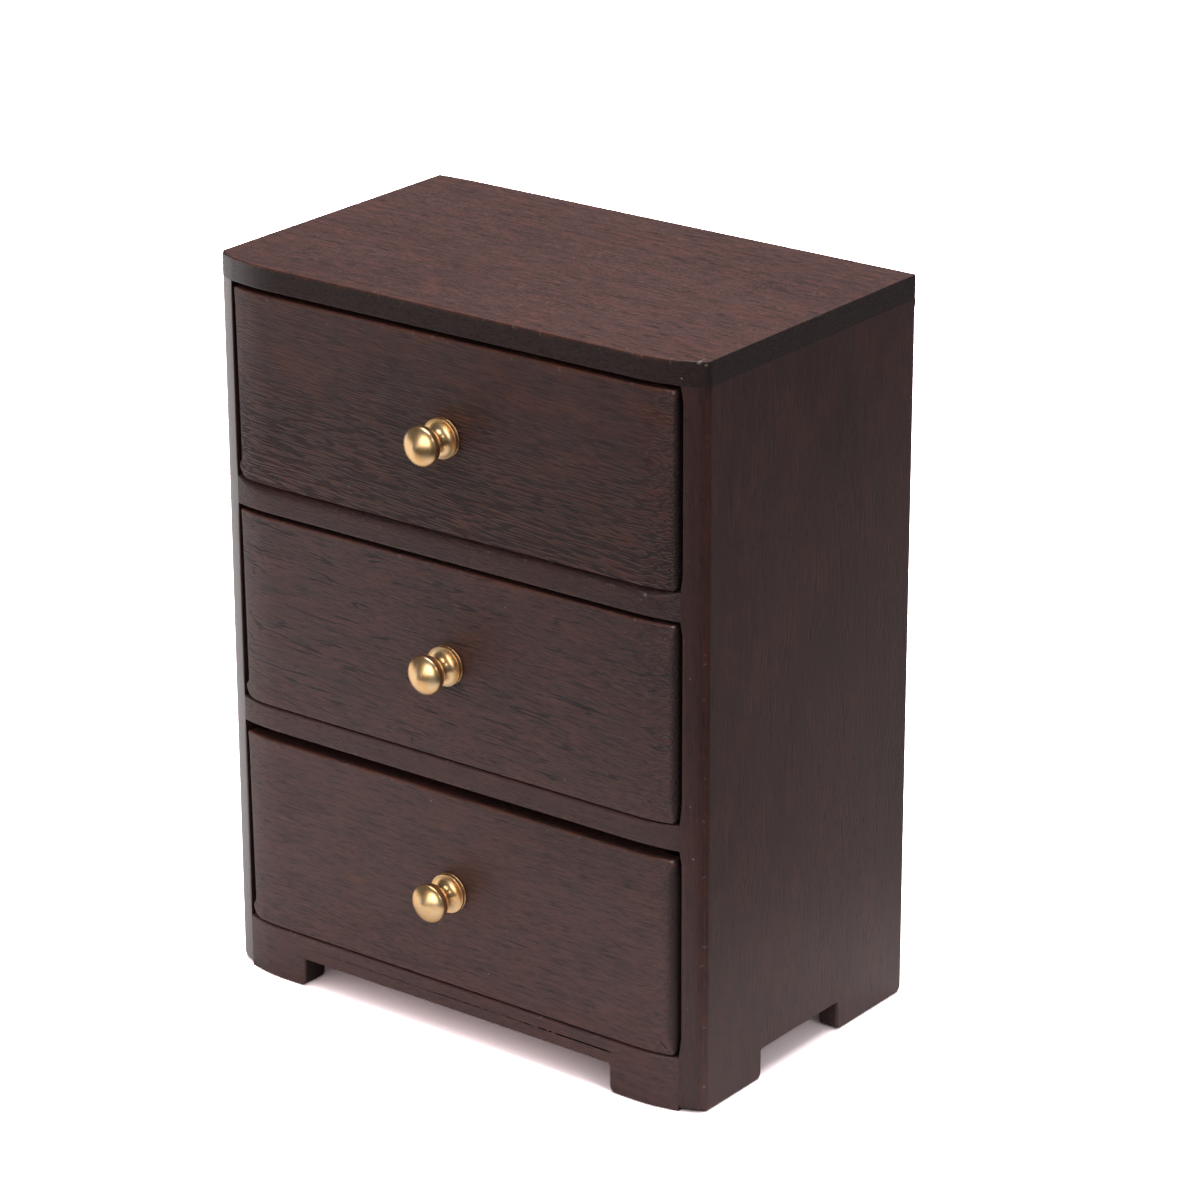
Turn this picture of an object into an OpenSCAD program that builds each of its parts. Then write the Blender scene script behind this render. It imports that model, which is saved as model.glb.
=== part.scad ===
// Small three-drawer chest for a desk top: dark-stained wood, bowed front, turned brass knobs.
// Millimetres, +Z up, front towards -Y. The origin is at table level, in the centre of the
// footprint with the knobs included.

/* [Case] */
// Width over the side panels
case_w = 155; // [130:1:200]
// Depth from the flat middle of the front to the back
case_d = 94; // [85:1:130]
// Thickness of the top board
top_t = 6.5; // [5:0.5:10]
// Thickness of the side panels
side_t = 6; // [5:0.5:8]
// Thickness of the lower divider
lower_divider_t = 6.8; // [6:0.1:10]
// Thickness of the upper divider
upper_divider_t = 7.5; // [6:0.1:10]
// Thickness of the bottom board, and of the base rail above its cut-out
base_t = 7; // [6:0.5:10]
// Front to back thickness of the base rail
rail_t = 8; // [8:0.5:10]
// Thickness of the back panel
back_t = 4; // [3:0.5:5]

/* [Bowed front] */
// How far the front sweeps back at each end
bow_d = 5; // [2:0.5:6]
// Length of the swept part at each end
bow_l = 18; // [12:1:30]

/* [Feet] */
// Height of the feet
foot_h = 8; // [5:0.5:15]
// Width of each front foot, side panel included
front_foot_w = 26.5; // [15:0.5:40]
// Length of each foot along the side, from the flat of the front or from the back
side_foot_l = 30; // [20:1:35]
// Radius of the rounded toes
toe_r = 2; // [1:0.5:3]

/* [Drawers] */
// Height of the bottom opening
bottom_opening_h = 57; // [45:0.5:70]
// Height of the middle opening
middle_opening_h = 54.2; // [45:0.1:70]
// Height of the top opening
top_opening_h = 53; // [45:0.5:70]
// Gap over the bottom drawer
bottom_gap = 2.7; // [1:0.1:3]
// Gap over the middle drawer
middle_gap = 1.1; // [1:0.1:3]
// Gap over the top drawer
top_gap = 1.2; // [1:0.1:3]
// Running clearance under each drawer
under_gap = 0.3; // [0.2:0.1:0.6]
// Clearance on each side of a drawer
side_gap = 1; // [0.5:0.1:2]
// Clearance behind a drawer
rear_gap = 2; // [1:0.5:5]
// Thickness of a drawer front
front_t = 9; // [8:0.5:12]
// Thickness of the drawer sides and backs
wall_t = 5; // [4:0.5:6]
// Thickness of the drawer bottoms
floor_t = 3; // [2.5:0.5:4]

/* [Knobs] */
// Diameter of the ball
ball_d = 10.5; // [9.5:0.1:12]
// Length of the ball behind its widest ring
ball_back_l = 4.4; // [4:0.1:4.6]
// Length of the ball in front of its widest ring, a shallow cone
ball_front_l = 2.8; // [2.4:0.1:3.4]
// Radius of the shoulder between the ring and the cone
shoulder_r = 2.2; // [1:0.1:2.5]
// Diameter of the flange
flange_d = 10.6; // [10:0.1:14]
// Diameter of the waist
waist_d = 4.8; // [4.4:0.1:5.4]
// How far a knob stands out from the drawer front
knob_l = 12.1; // [12:0.1:16]

/* [Hidden] */
drawer_names = ["bottom", "middle", "top"];
drawer_pieces = ["front", "left_side", "right_side", "back", "bottom", "knob", "knob_screw", "pins"];

$fn = 96;
stained = "#4a3027";    // show faces of the chest
stained_edge = "#3b2922";    // edges across the grain, a shade darker
raw_wood = "#9c7350";    // drawer boxes, left unstained
plywood = "#b08a62";    // drawer bottoms
brass = "#c9a04e";
steel = "#8d8f92";

over = 1;    // how far a cutter runs past the face it cuts
pin_d = 1.2;
pin_l = 12;
dowel_d = 3;
dowel_l = 10;
dowel_up = 4;    // how far a dowel reaches into the top board
housing_d = 2;    // depth of the housings that hold the boards in the side panels
housing_setback = 10;    // the housings stop this far behind the front
rebate_d = 3;    // width of the rebate that holds the back panel

// Case
front_y = knob_l - (case_d + knob_l) / 2;    // flat middle of the front
back_y = front_y + case_d;
panel_y = back_y - back_t;    // inside face of the back panel
rail_y = front_y + rail_t;    // back of the base rail
inner_x = case_w / 2 - side_t;    // inside face of the right side panel
bow_r = (bow_l * bow_l + bow_d * bow_d) / (2 * bow_d);
housing_x = inner_x + housing_d;
housing_y = front_y + housing_setback;
rebate_x = inner_x + rebate_d;
opening_h = [bottom_opening_h, middle_opening_h, top_opening_h];
board_t = [base_t, lower_divider_t, upper_divider_t];    // the board under each opening
middle_floor = foot_h + base_t + bottom_opening_h + lower_divider_t;
floor_z = [foot_h + base_t, middle_floor, middle_floor + middle_opening_h + upper_divider_t];
top_z = floor_z[2] + opening_h[2];    // underside of the top board

// Drawers, counted from the bottom one up
lap_t = 4.5;    // what the rebates leave of a drawer front, before its ends
groove_d = 2;
groove_z = 2.5;    // drawer bottom above the drawer's lower edge
wall_drop = 3;    // drawer sides stop this far below the top of the front
gap_over = [bottom_gap, middle_gap, top_gap];
drawer_h = [for (i = [0:2]) opening_h[i] - under_gap - gap_over[i]];
drawer_z = [for (i = [0:2]) floor_z[i] + under_gap];
wall_h = [for (i = [0:2]) drawer_h[i] - wall_drop];
drawer_x = inner_x - side_gap;    // outside face of a drawer's right side
drawer_y = panel_y - rear_gap;    // back end of a drawer
box_x = drawer_x - wall_t;    // inside face of a drawer's right side
inside_y = front_y + front_t;    // inside face of a drawer front
lap_y = front_y + lap_t;    // front end of the drawer sides, in their rebates
pin_levels = [0.3, 0.8];    // height of the corner pins, as a share of wall_h

// Knobs and their screws
bore_d = 3;
screw_grip = 6;    // how far the screw reaches into the knob
screw_clear_d = 3.2;
head_d = 6;
head_t = 1.8;
head_recess_d = 6.6;
rim_t = 0.8;    // each of the flange's two rims
rim_gap = 0.4;    // width and depth of the groove between the rims
rim_land = 0.3;    // flat ring left between the cove and the rim's edge
flange_l = 2 * rim_t + rim_gap;
cove_r = (flange_d - waist_d) / 2 - rim_land;
ball_y = knob_l - ball_front_l;    // widest ring of the ball, from the knob's foot
ball_axis = ball_d / 2 - ball_back_l;    // behind it the ball is a circle turned this far off the axis
shoulder_x = ball_d / 2 - shoulder_r;
cone_slope = atan2(ball_front_l, shoulder_x) - asin(shoulder_r / norm([shoulder_x, ball_front_l]));

// Outline of the whole chest seen from above
module plan() {
    difference() {
        translate([-case_w / 2, front_y]) square([case_w, case_d]);
        for (end = [0, 1]) mirror([end, 0]) difference() {
            translate([case_w / 2 - bow_l, front_y - over]) square([bow_l + over, bow_d + over]);
            translate([case_w / 2 - bow_l, front_y + bow_r]) circle(bow_r);
        }
    }
}

// A board with its front end shaped to the outline: x from x0 to x1, back end at y1,
// standing h high on z0
module bowed_board(x0, x1, y1, z0, h) {
    translate([0, 0, z0]) linear_extrude(h) intersection() {
        plan();
        translate([x0, front_y - over]) square([x1 - x0, y1 - front_y + over]);
    }
}

// A box between two opposite corners
module block(low, high) {
    translate(low) cube(high - low);
}

// Side view of the space between two feet, from a to b, with the feet's toes rounded
module foot_gap(a, b) {
    translate([a, -over]) square([b - a, foot_h + over]);
    for (end = [a, b]) difference() {
        translate([end - toe_r, -over]) square([2 * toe_r, toe_r + over]);
        for (side = [-1, 1]) translate([end + side * toe_r, toe_r]) circle(toe_r);
    }
}

// A tongue on each side, for a board that is housed in the side panels
module tongues(z0, h) {
    for (end = [0, 1]) mirror([end, 0, 0])
        block([inner_x, housing_y, z0], [housing_x, panel_y, z0 + h]);
}

// A cylinder along Y, from y0 back to y1
module rod_y(x, y0, y1, z, d) {
    translate([x, y0, z]) rotate([-90, 0, 0]) cylinder(d = d, h = y1 - y0);
}

module dowels() {
    for (side = [-1, 1], y = [front_y + case_d / 4, back_y - case_d / 4])
        translate([side * (inner_x + side_t / 2), y, top_z + dowel_up - dowel_l])
            cylinder(d = dowel_d, h = dowel_l);
}

// Three pins in each board behind the back panel
module panel_pins() {
    for (i = [0:2], x = [-inner_x * 2 / 3, 0, inner_x * 2 / 3])
        rod_y(x, back_y - pin_l, back_y, floor_z[i] - board_t[i] / 2, pin_d);
}

module top_board() {
    color(stained) difference() {
        bowed_board(-case_w / 2, case_w / 2, back_y, top_z, top_t);
        dowels();
    }
}

// The right side panel; the left one is its mirror image
module side_panel() {
    color(stained) difference() {
        bowed_board(inner_x, case_w / 2, back_y, 0, top_z);
        translate([inner_x - over, 0, 0]) rotate([90, 0, 90]) linear_extrude(side_t + 2 * over)
            foot_gap(front_y + side_foot_l, back_y - side_foot_l);
        block([inner_x - over, housing_y, foot_h], [housing_x, panel_y, floor_z[0]]);
        for (i = [1, 2])
            block([inner_x - over, housing_y, floor_z[i] - board_t[i]], [housing_x, panel_y, floor_z[i]]);
        block([inner_x - over, panel_y, foot_h], [rebate_x, back_y + over, top_z + over]);
        dowels();
    }
}

module base_rail() {
    gap_x = case_w / 2 - front_foot_w;
    color(stained) difference() {
        bowed_board(-inner_x, inner_x, rail_y, 0, floor_z[0]);
        translate([0, rail_y + over, 0]) rotate([90, 0, 0]) linear_extrude(rail_t + 2 * over)
            foot_gap(-gap_x, gap_x);
    }
}

module bottom_board() {
    color(stained_edge) difference() {
        union() {
            block([-inner_x, rail_y, foot_h], [inner_x, panel_y, floor_z[0]]);
            tongues(foot_h, base_t);
        }
        panel_pins();
    }
}

// The board under drawer i
module divider(i) {
    color(stained_edge) difference() {
        union() {
            bowed_board(-inner_x, inner_x, panel_y, floor_z[i] - board_t[i], board_t[i]);
            tongues(floor_z[i] - board_t[i], board_t[i]);
        }
        panel_pins();
    }
}

module back_panel() {
    color(stained_edge) difference() {
        block([-rebate_x, panel_y, foot_h], [rebate_x, back_y, top_z]);
        panel_pins();
    }
}

module drawer_front(i) {
    z = drawer_z[i];
    knob_z = z + drawer_h[i] / 2;
    color(stained) difference() {
        bowed_board(-drawer_x, drawer_x, inside_y, z, drawer_h[i]);
        for (end = [0, 1]) mirror([end, 0, 0])
            block([box_x, lap_y, z - over], [drawer_x + over, inside_y + over, z + drawer_h[i] + over]);
        block([-drawer_x, inside_y - groove_d, z + groove_z],
              [drawer_x, inside_y + over, z + groove_z + floor_t]);
        rod_y(0, front_y - over, inside_y, knob_z, screw_clear_d);
        rod_y(0, inside_y - head_t, inside_y + over, knob_z, head_recess_d);
        drawer_pins(i);
    }
}

// The right side of drawer i; the left one is its mirror image
module drawer_side(i) {
    z = drawer_z[i];
    color(raw_wood) difference() {
        block([box_x, lap_y, z], [drawer_x, drawer_y, z + wall_h[i]]);
        block([box_x - over, lap_y - over, z + groove_z],
              [box_x + groove_d, drawer_y + over, z + groove_z + floor_t]);
        drawer_pins(i);
    }
}

// The back stands on the bottom panel
module drawer_back(i) {
    color(raw_wood) difference() {
        block([-box_x, drawer_y - wall_t, drawer_z[i] + groove_z + floor_t],
              [box_x, drawer_y, drawer_z[i] + wall_h[i]]);
        drawer_pins(i);
    }
}

module drawer_bottom(i) {
    z = drawer_z[i] + groove_z;
    color(plywood) difference() {
        block([-box_x - groove_d, inside_y - groove_d, z], [box_x + groove_d, drawer_y, z + floor_t]);
        drawer_pins(i);
    }
}

// Two pins through the side at each corner, and two up through the bottom into the back
module drawer_pins(i) {
    for (end = [0, 1], y = [(lap_y + inside_y) / 2, drawer_y - wall_t / 2], level = pin_levels)
        mirror([end, 0, 0]) translate([drawer_x - pin_l, y, drawer_z[i] + level * wall_h[i]])
            rotate([0, 90, 0]) cylinder(d = pin_d, h = pin_l);
    for (x = [-box_x / 2, box_x / 2])
        translate([x, drawer_y - wall_t / 2, drawer_z[i] + groove_z]) cylinder(d = pin_d, h = pin_l);
}

// Half section of a knob, its foot on y = 0
module knob_section() {
    difference() {
        union() {
            for (y = [0, rim_t + rim_gap]) translate([0, y]) square([flange_d / 2, rim_t]);
            square([flange_d / 2 - rim_gap, flange_l]);
            difference() {
                translate([0, flange_l]) square([waist_d / 2 + cove_r, cove_r]);
                translate([waist_d / 2 + cove_r, flange_l + cove_r]) circle(cove_r);
            }
            translate([0, flange_l]) square([waist_d / 2, ball_y - flange_l]);
            translate([0, ball_y - ball_back_l]) square([ball_axis, ball_back_l]);
            intersection() {
                translate([ball_axis, ball_y]) circle(ball_back_l);
                translate([0, ball_y - ball_back_l]) square([ball_d, ball_back_l]);
            }
            polygon(concat([[0, ball_y], [0, knob_l]], [for (k = [0:8])
                let (turn = (90 - cone_slope) * (1 - k / 8))
                    [shoulder_x + shoulder_r * cos(turn), ball_y + shoulder_r * sin(turn)]]));
        }
        translate([0, -over]) square([bore_d / 2, screw_grip + 2 * over]);
    }
}

module drawer_knob(i) {
    color(brass) translate([0, front_y, drawer_z[i] + drawer_h[i] / 2]) rotate([90, 0, 0])
        rotate_extrude() knob_section();
}

module drawer_knob_screw(i) {
    knob_z = drawer_z[i] + drawer_h[i] / 2;
    color(steel) union() {
        rod_y(0, front_y - screw_grip, inside_y, knob_z, bore_d);
        rod_y(0, inside_y - head_t, inside_y, knob_z, head_d);
    }
}

top_board();
mirror([1, 0, 0]) side_panel();  // left_side_panel
side_panel();  // right_side_panel
base_rail();
bottom_board();
divider(1);  // lower_divider
divider(2);  // upper_divider
back_panel();
color(steel) panel_pins();  // back_panel_pins
color(raw_wood) dowels();  // top_dowels
for (i = [0:2]) {
    drawer = str(drawer_names[i], "_drawer_");
    drawer_front(i);
    mirror([1, 0, 0]) drawer_side(i);
    drawer_side(i);
    drawer_back(i);
    drawer_bottom(i);
    drawer_knob(i);
    drawer_knob_screw(i);
    color(steel) drawer_pins(i);
}
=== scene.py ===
import math

import bmesh
import bpy
import numpy as np
from mathutils import Matrix, Vector, noise
from mathutils.geometry import delaunay_2d_cdt


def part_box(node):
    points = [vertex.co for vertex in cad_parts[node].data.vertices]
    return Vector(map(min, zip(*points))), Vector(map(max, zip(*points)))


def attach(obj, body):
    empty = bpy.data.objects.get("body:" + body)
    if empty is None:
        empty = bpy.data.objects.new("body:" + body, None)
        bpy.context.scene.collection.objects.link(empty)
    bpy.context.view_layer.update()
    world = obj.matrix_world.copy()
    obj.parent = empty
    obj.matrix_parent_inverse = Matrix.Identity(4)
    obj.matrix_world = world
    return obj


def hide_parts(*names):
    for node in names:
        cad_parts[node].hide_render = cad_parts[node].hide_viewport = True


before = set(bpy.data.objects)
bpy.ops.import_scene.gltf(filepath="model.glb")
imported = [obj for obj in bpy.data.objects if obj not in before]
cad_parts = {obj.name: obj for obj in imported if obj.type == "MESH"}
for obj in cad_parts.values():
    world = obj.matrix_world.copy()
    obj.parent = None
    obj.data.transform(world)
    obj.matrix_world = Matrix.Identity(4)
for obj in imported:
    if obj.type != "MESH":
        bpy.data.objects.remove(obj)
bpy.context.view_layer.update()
scene = bpy.context.scene
scene.view_settings.view_transform = "Standard"
mm = 0.001

# the chest's main planes, in metres
frontY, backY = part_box("top_board")[0].y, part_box("top_board")[1].y
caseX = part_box("top_board")[1].x
topZ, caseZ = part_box("top_board")[0].z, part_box("top_board")[1].z    # under and over the top board
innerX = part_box("base_rail")[1].x
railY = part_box("base_rail")[1].y
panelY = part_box("back_panel")[0].y
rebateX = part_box("back_panel")[1].x
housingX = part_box("bottom_board")[1].x
drawers = ("bottom", "middle", "top")

# angles in degrees, lengths in metres, the lens in millimetres
camera = dict(azimuth=37.386, elevation=21.082, roll=-0.187, distance=1.144992,
              target=(0.04861, frontY, 0.134254), lens=139.874, sensor=36, clip=(0.05, 50))


def aimCamera(c):
    az, el, roll = (math.radians(c[k]) for k in ("azimuth", "elevation", "roll"))
    back = Vector((math.sin(az) * math.cos(el), -math.cos(az) * math.cos(el), math.sin(el)))
    right = Vector((math.cos(az), math.sin(az), 0))
    up = back.cross(right)
    right, up = (math.cos(roll) * right + math.sin(roll) * up, math.cos(roll) * up - math.sin(roll) * right)
    data = bpy.data.cameras.new("camera")
    data.lens, data.sensor_width = c["lens"], c["sensor"]
    data.clip_start, data.clip_end = c["clip"]
    cam = bpy.data.objects.new("camera", data)
    turn = Matrix((right, up, back)).transposed().to_4x4()
    cam.matrix_world = Matrix.Translation(Vector(c["target"]) + back * c["distance"]) @ turn
    scene.collection.objects.link(cam)
    scene.camera = cam


aimCamera(camera)
print("camera set")


class Wire:
    # one output of a shader node; sums and products of wires add Math nodes
    def __init__(self, tree, node, output=0):
        self.tree, self.node, self.socket = tree, node, node.outputs[output]

    def out(self, output):
        return Wire(self.tree, self.node, output)

    def maths(self, operation, *values):
        return self.tree.add("Math", {"operation": operation}, dict(enumerate(values)))

    def __add__(self, other): return self.maths("ADD", self, other)
    def __radd__(self, other): return self.maths("ADD", other, self)
    def __sub__(self, other): return self.maths("SUBTRACT", self, other)
    def __rsub__(self, other): return self.maths("SUBTRACT", other, self)
    def __mul__(self, other): return self.maths("MULTIPLY", self, other)
    def __rmul__(self, other): return self.maths("MULTIPLY", other, self)
    def __truediv__(self, other): return self.maths("DIVIDE", self, other)
    def sqrt(self): return self.maths("SQRT", self)
    def size(self): return self.maths("ABSOLUTE", self)
    def smaller(self, other): return self.maths("MINIMUM", self, other)
    def larger(self, other): return self.maths("MAXIMUM", self, other)

    def rise(self, low, high):
        # 0 up to low, 1 from high on, smooth in between
        return self.tree.add("MapRange", {"interpolation_type": "SMOOTHSTEP"},
                             {"Value": self, "From Min": low, "From Max": high})


class Tree:
    # the node tree of a material or a world
    def __init__(self, owner):
        owner.use_nodes = True
        self.owner, self.nodes, self.links = owner, owner.node_tree.nodes, owner.node_tree.links
        self.nodes.clear()

    def add(self, kind, settings, values):
        node = self.nodes.new("ShaderNode" + kind)
        for key, setting in settings.items():
            setattr(node, key, setting)
        for key, value in values.items():
            socket = node.inputs[key]
            if isinstance(value, Wire):
                self.links.new(value.socket, socket)
            elif hasattr(socket.default_value, "__len__") and len(socket.default_value) == 4:
                socket.default_value = (*value, 1)    # a colour
            else:
                socket.default_value = value
        return Wire(self, node)

    def mix(self, share, first, second):
        return self.add("Mix", {"data_type": "RGBA"}, {0: share, 6: first, 7: second}).out(2)

    def blend(self, share, first, second):
        return self.add("MixShader", {}, {0: share, 1: first, 2: second})

    def vector(self, x, y, z):
        return self.add("CombineXYZ", {}, {0: x, 1: y, 2: z})

    def split(self, vector):
        parts = self.add("SeparateXYZ", {}, {0: vector})
        return [parts.out(i) for i in range(3)]

    def coords(self, kind):
        return self.add("TexCoord", {}, {}).out(kind)

    def noise(self, place, detail=2, rough=0.5, scale=1):
        return self.add("TexNoise", {}, {"Vector": place, "Scale": scale, "Detail": detail,
                                         "Roughness": rough})

    def finish(self, shader):
        kind = "World" if isinstance(self.owner, bpy.types.World) else "Material"
        end = self.nodes.new("ShaderNodeOutput" + kind)
        self.links.new(shader.socket, end.inputs["Surface"])
        return self.owner


def newTree(name):
    return Tree(bpy.data.materials.new(name))


# how fine each layer of the figure is: waves per metre along and across the grain
figure = dict(wander=(7, 12), ripple=(26, 70), jitter=(170, 420), patch=(12, 40), thread=(28, 420),
              cut=(60, 300), fibre=(170, 1900), streak=(45, 800), blotch=(60, 150), cloud=(14, 34))
# a board's grain, unless it says otherwise
usualGrain = dict(lean=(0.03, 0.05), ring=4.2 * mm, wave=4 * mm, ripple=1.4 * mm, jitter=0.8 * mm,
                  poreLong=3.5 * mm, poreWide=0.42 * mm, grooveLong=6 * mm, grooveWide=0.8 * mm)
# how far below each groove lies its lip, which is painted pale as a highlight
litLipShift = 0.2 * mm
# where each layer of the figure begins to show, and where it shows in full
shows = dict(end=(0.18, 0.9), front=(0.5, 0.95), ring=(0.36, 0.6), pore=(0.3, 1.2), groove=(0.03, 0.12),
             thread=(0.008, 0.035), cut=(0.48, 0.58), rust=(0.42, 0.70), cloudy=(0.5, 0.75),
             fibres=(0.5, 0.75), darkFibres=(0.25, 0.48), worn=(0.25, 1.15), speck=(0.02, 0.055),
             speckChance=(0.8, 0.82), glintEdge=(0.1, 0.4), glint=(0.66, 0.72))
# how wide the pores are, and how much that varies, in late and early wood and from patch to patch
pore = dict(least=0.14, varied=0.28, late=0.45, early=0.75, patchy=0.9)
# waves per metre of what lies over the figure
over = dict(rub=170, chip=1300, dust=160, glint=600)


def boardOf(along, heart, seed, **more):
    # along = the grain's axis, heart = the pith's place across it
    return {**usualGrain, "along": along, "heart": heart, "seed": seed, **more}


def grainOf(tree, board):
    # the figure of a board cut from a log
    place = tree.coords("Object")
    spot = tree.split(place)
    axis = {"x": (0, 2, 1), "z": (2, 1, 0), "y": (1, 0, 2)}[board["along"]]
    along, across, deep = (spot[i] for i in axis)
    normal = tree.split(tree.coords("Normal"))
    made = dict(place=place, spot=spot)
    made["end"] = normal[axis[0]].size().rise(*shows["end"])    # 1 on end grain
    made["front"] = (-1 * normal[1]).rise(*shows["front"])    # 1 on what faces the front
    seed = board["seed"]
    across, deep = across + along * board["lean"][0], deep + along * board["lean"][1]
    along = along + seed * 0.37

    def waves(key, shift, detail, rough=0.5, wide=None):
        lengthwise, crosswise = figure[key]
        return tree.noise(tree.vector(along * lengthwise, (wide or across) * crosswise,
                                      deep * crosswise + seed * shift), detail, rough)

    wave = (waves("wander", 1, 1) - 0.5) * board["wave"]
    fine = (waves("ripple", 1, 2) - 0.5) * board["ripple"]
    across, deep = across + wave, deep + wave * 0.6
    du, dv = across - board["heart"][0], deep - board["heart"][1]
    reach = (du * du + dv * dv).sqrt() + fine
    fine = fine + (waves("jitter", 1, 1) - 0.5) * board["jitter"]
    bent = across + fine
    rings = tree.add("TexNoise", {"noise_dimensions": "1D"},
                     {"W": reach / board["ring"] + seed * 3, "Scale": 1, "Detail": 2, "Roughness": 0.6})
    patch = waves("patch", 2, 2)
    cell = tree.vector(along / board["poreLong"], bent / board["poreWide"], deep / board["poreWide"] + seed)
    near = tree.add("TexVoronoi", {}, {"Vector": cell, "Scale": 1, "Randomness": 1})
    kind = tree.add("SeparateColor", {}, {0: near.out("Color")})
    early = rings.rise(*shows["ring"])
    width = pore["late"] + pore["early"] * early + (patch - 0.5) * pore["patchy"]
    width = (pore["least"] + pore["varied"] * kind) * width
    made.update(rings=rings, patch=patch, pores=1 - (near / width.larger(0.02)).rise(*shows["pore"]))
    # grooves left by the brush, and the lip below each one, painted pale as a highlight where it catches the
    # light
    for key, shift in (("grooves", 0), ("litLips", litLipShift)):
        groove = tree.noise(tree.vector(along / board["grooveLong"], (bent + shift) / board["grooveWide"],
                                        deep / board["grooveWide"] + seed), 1, 0.4)
        made[key] = 1 - (groove - 0.5).size().rise(*shows["groove"])
    # long thin dark lines, here and there
    thread = (waves("thread", 7, 1, wide=bent) - 0.5).size()
    made["lines"] = (1 - thread.rise(*shows["thread"])) * waves("cut", 4, 1).rise(*shows["cut"])
    made["fibre"] = waves("fibre", 1, 2, 0.65)
    made["streak"] = waves("streak", 1, 3, 0.6)
    made["blotch"] = waves("blotch", 1, 3, 0.6)
    made["cloud"] = waves("cloud", 5, 2)
    return made


# lip is a painted highlight on the lip below each groove, and speck is the pale colour of dust and of
# painted glints
stain = dict(dark=(0.062, 0.0310, 0.0300), mid=(0.110, 0.0525, 0.0490), warm=(0.165, 0.0600, 0.0440),
             pore=(0.022, 0.0112, 0.0110), lip=(0.230, 0.1150, 0.0880), end=(0.026, 0.0145, 0.0140),
             front=(0.021, 0.0098, 0.0092), worn=(0.240, 0.0640, 0.0260), speck=(0.50, 0.44, 0.40))
# a stained board's look, unless it says otherwise: mostly shares from 0 to 1; frontTone and frontRough are
# for what faces the front, polish for its left corner, coarseFrom = the heights between which the grooves
# fade, marks = knots, dings and painted glints in the front as (x, z, size, colour, share)
usualLook = dict(tone=1, streaky=0.3, rust=0.35, cloudy=0.3, fibres=0.3, coarse=0.3, patchy=0.8, fine=0.8,
                 lines=0.3, lipTone=0.55, poreTone=0.6, worn=0.6, rough=0.38, relief=0.9, gloss=0.5,
                 frontTone=0, frontRough=0, polish=0, coarseFrom=None, marks=())
polished = (52 * mm, 74 * mm)    # the polish grows between these distances to the left
frontDepth = (5 * mm, 7 * mm)    # marks end this far behind the front


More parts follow.
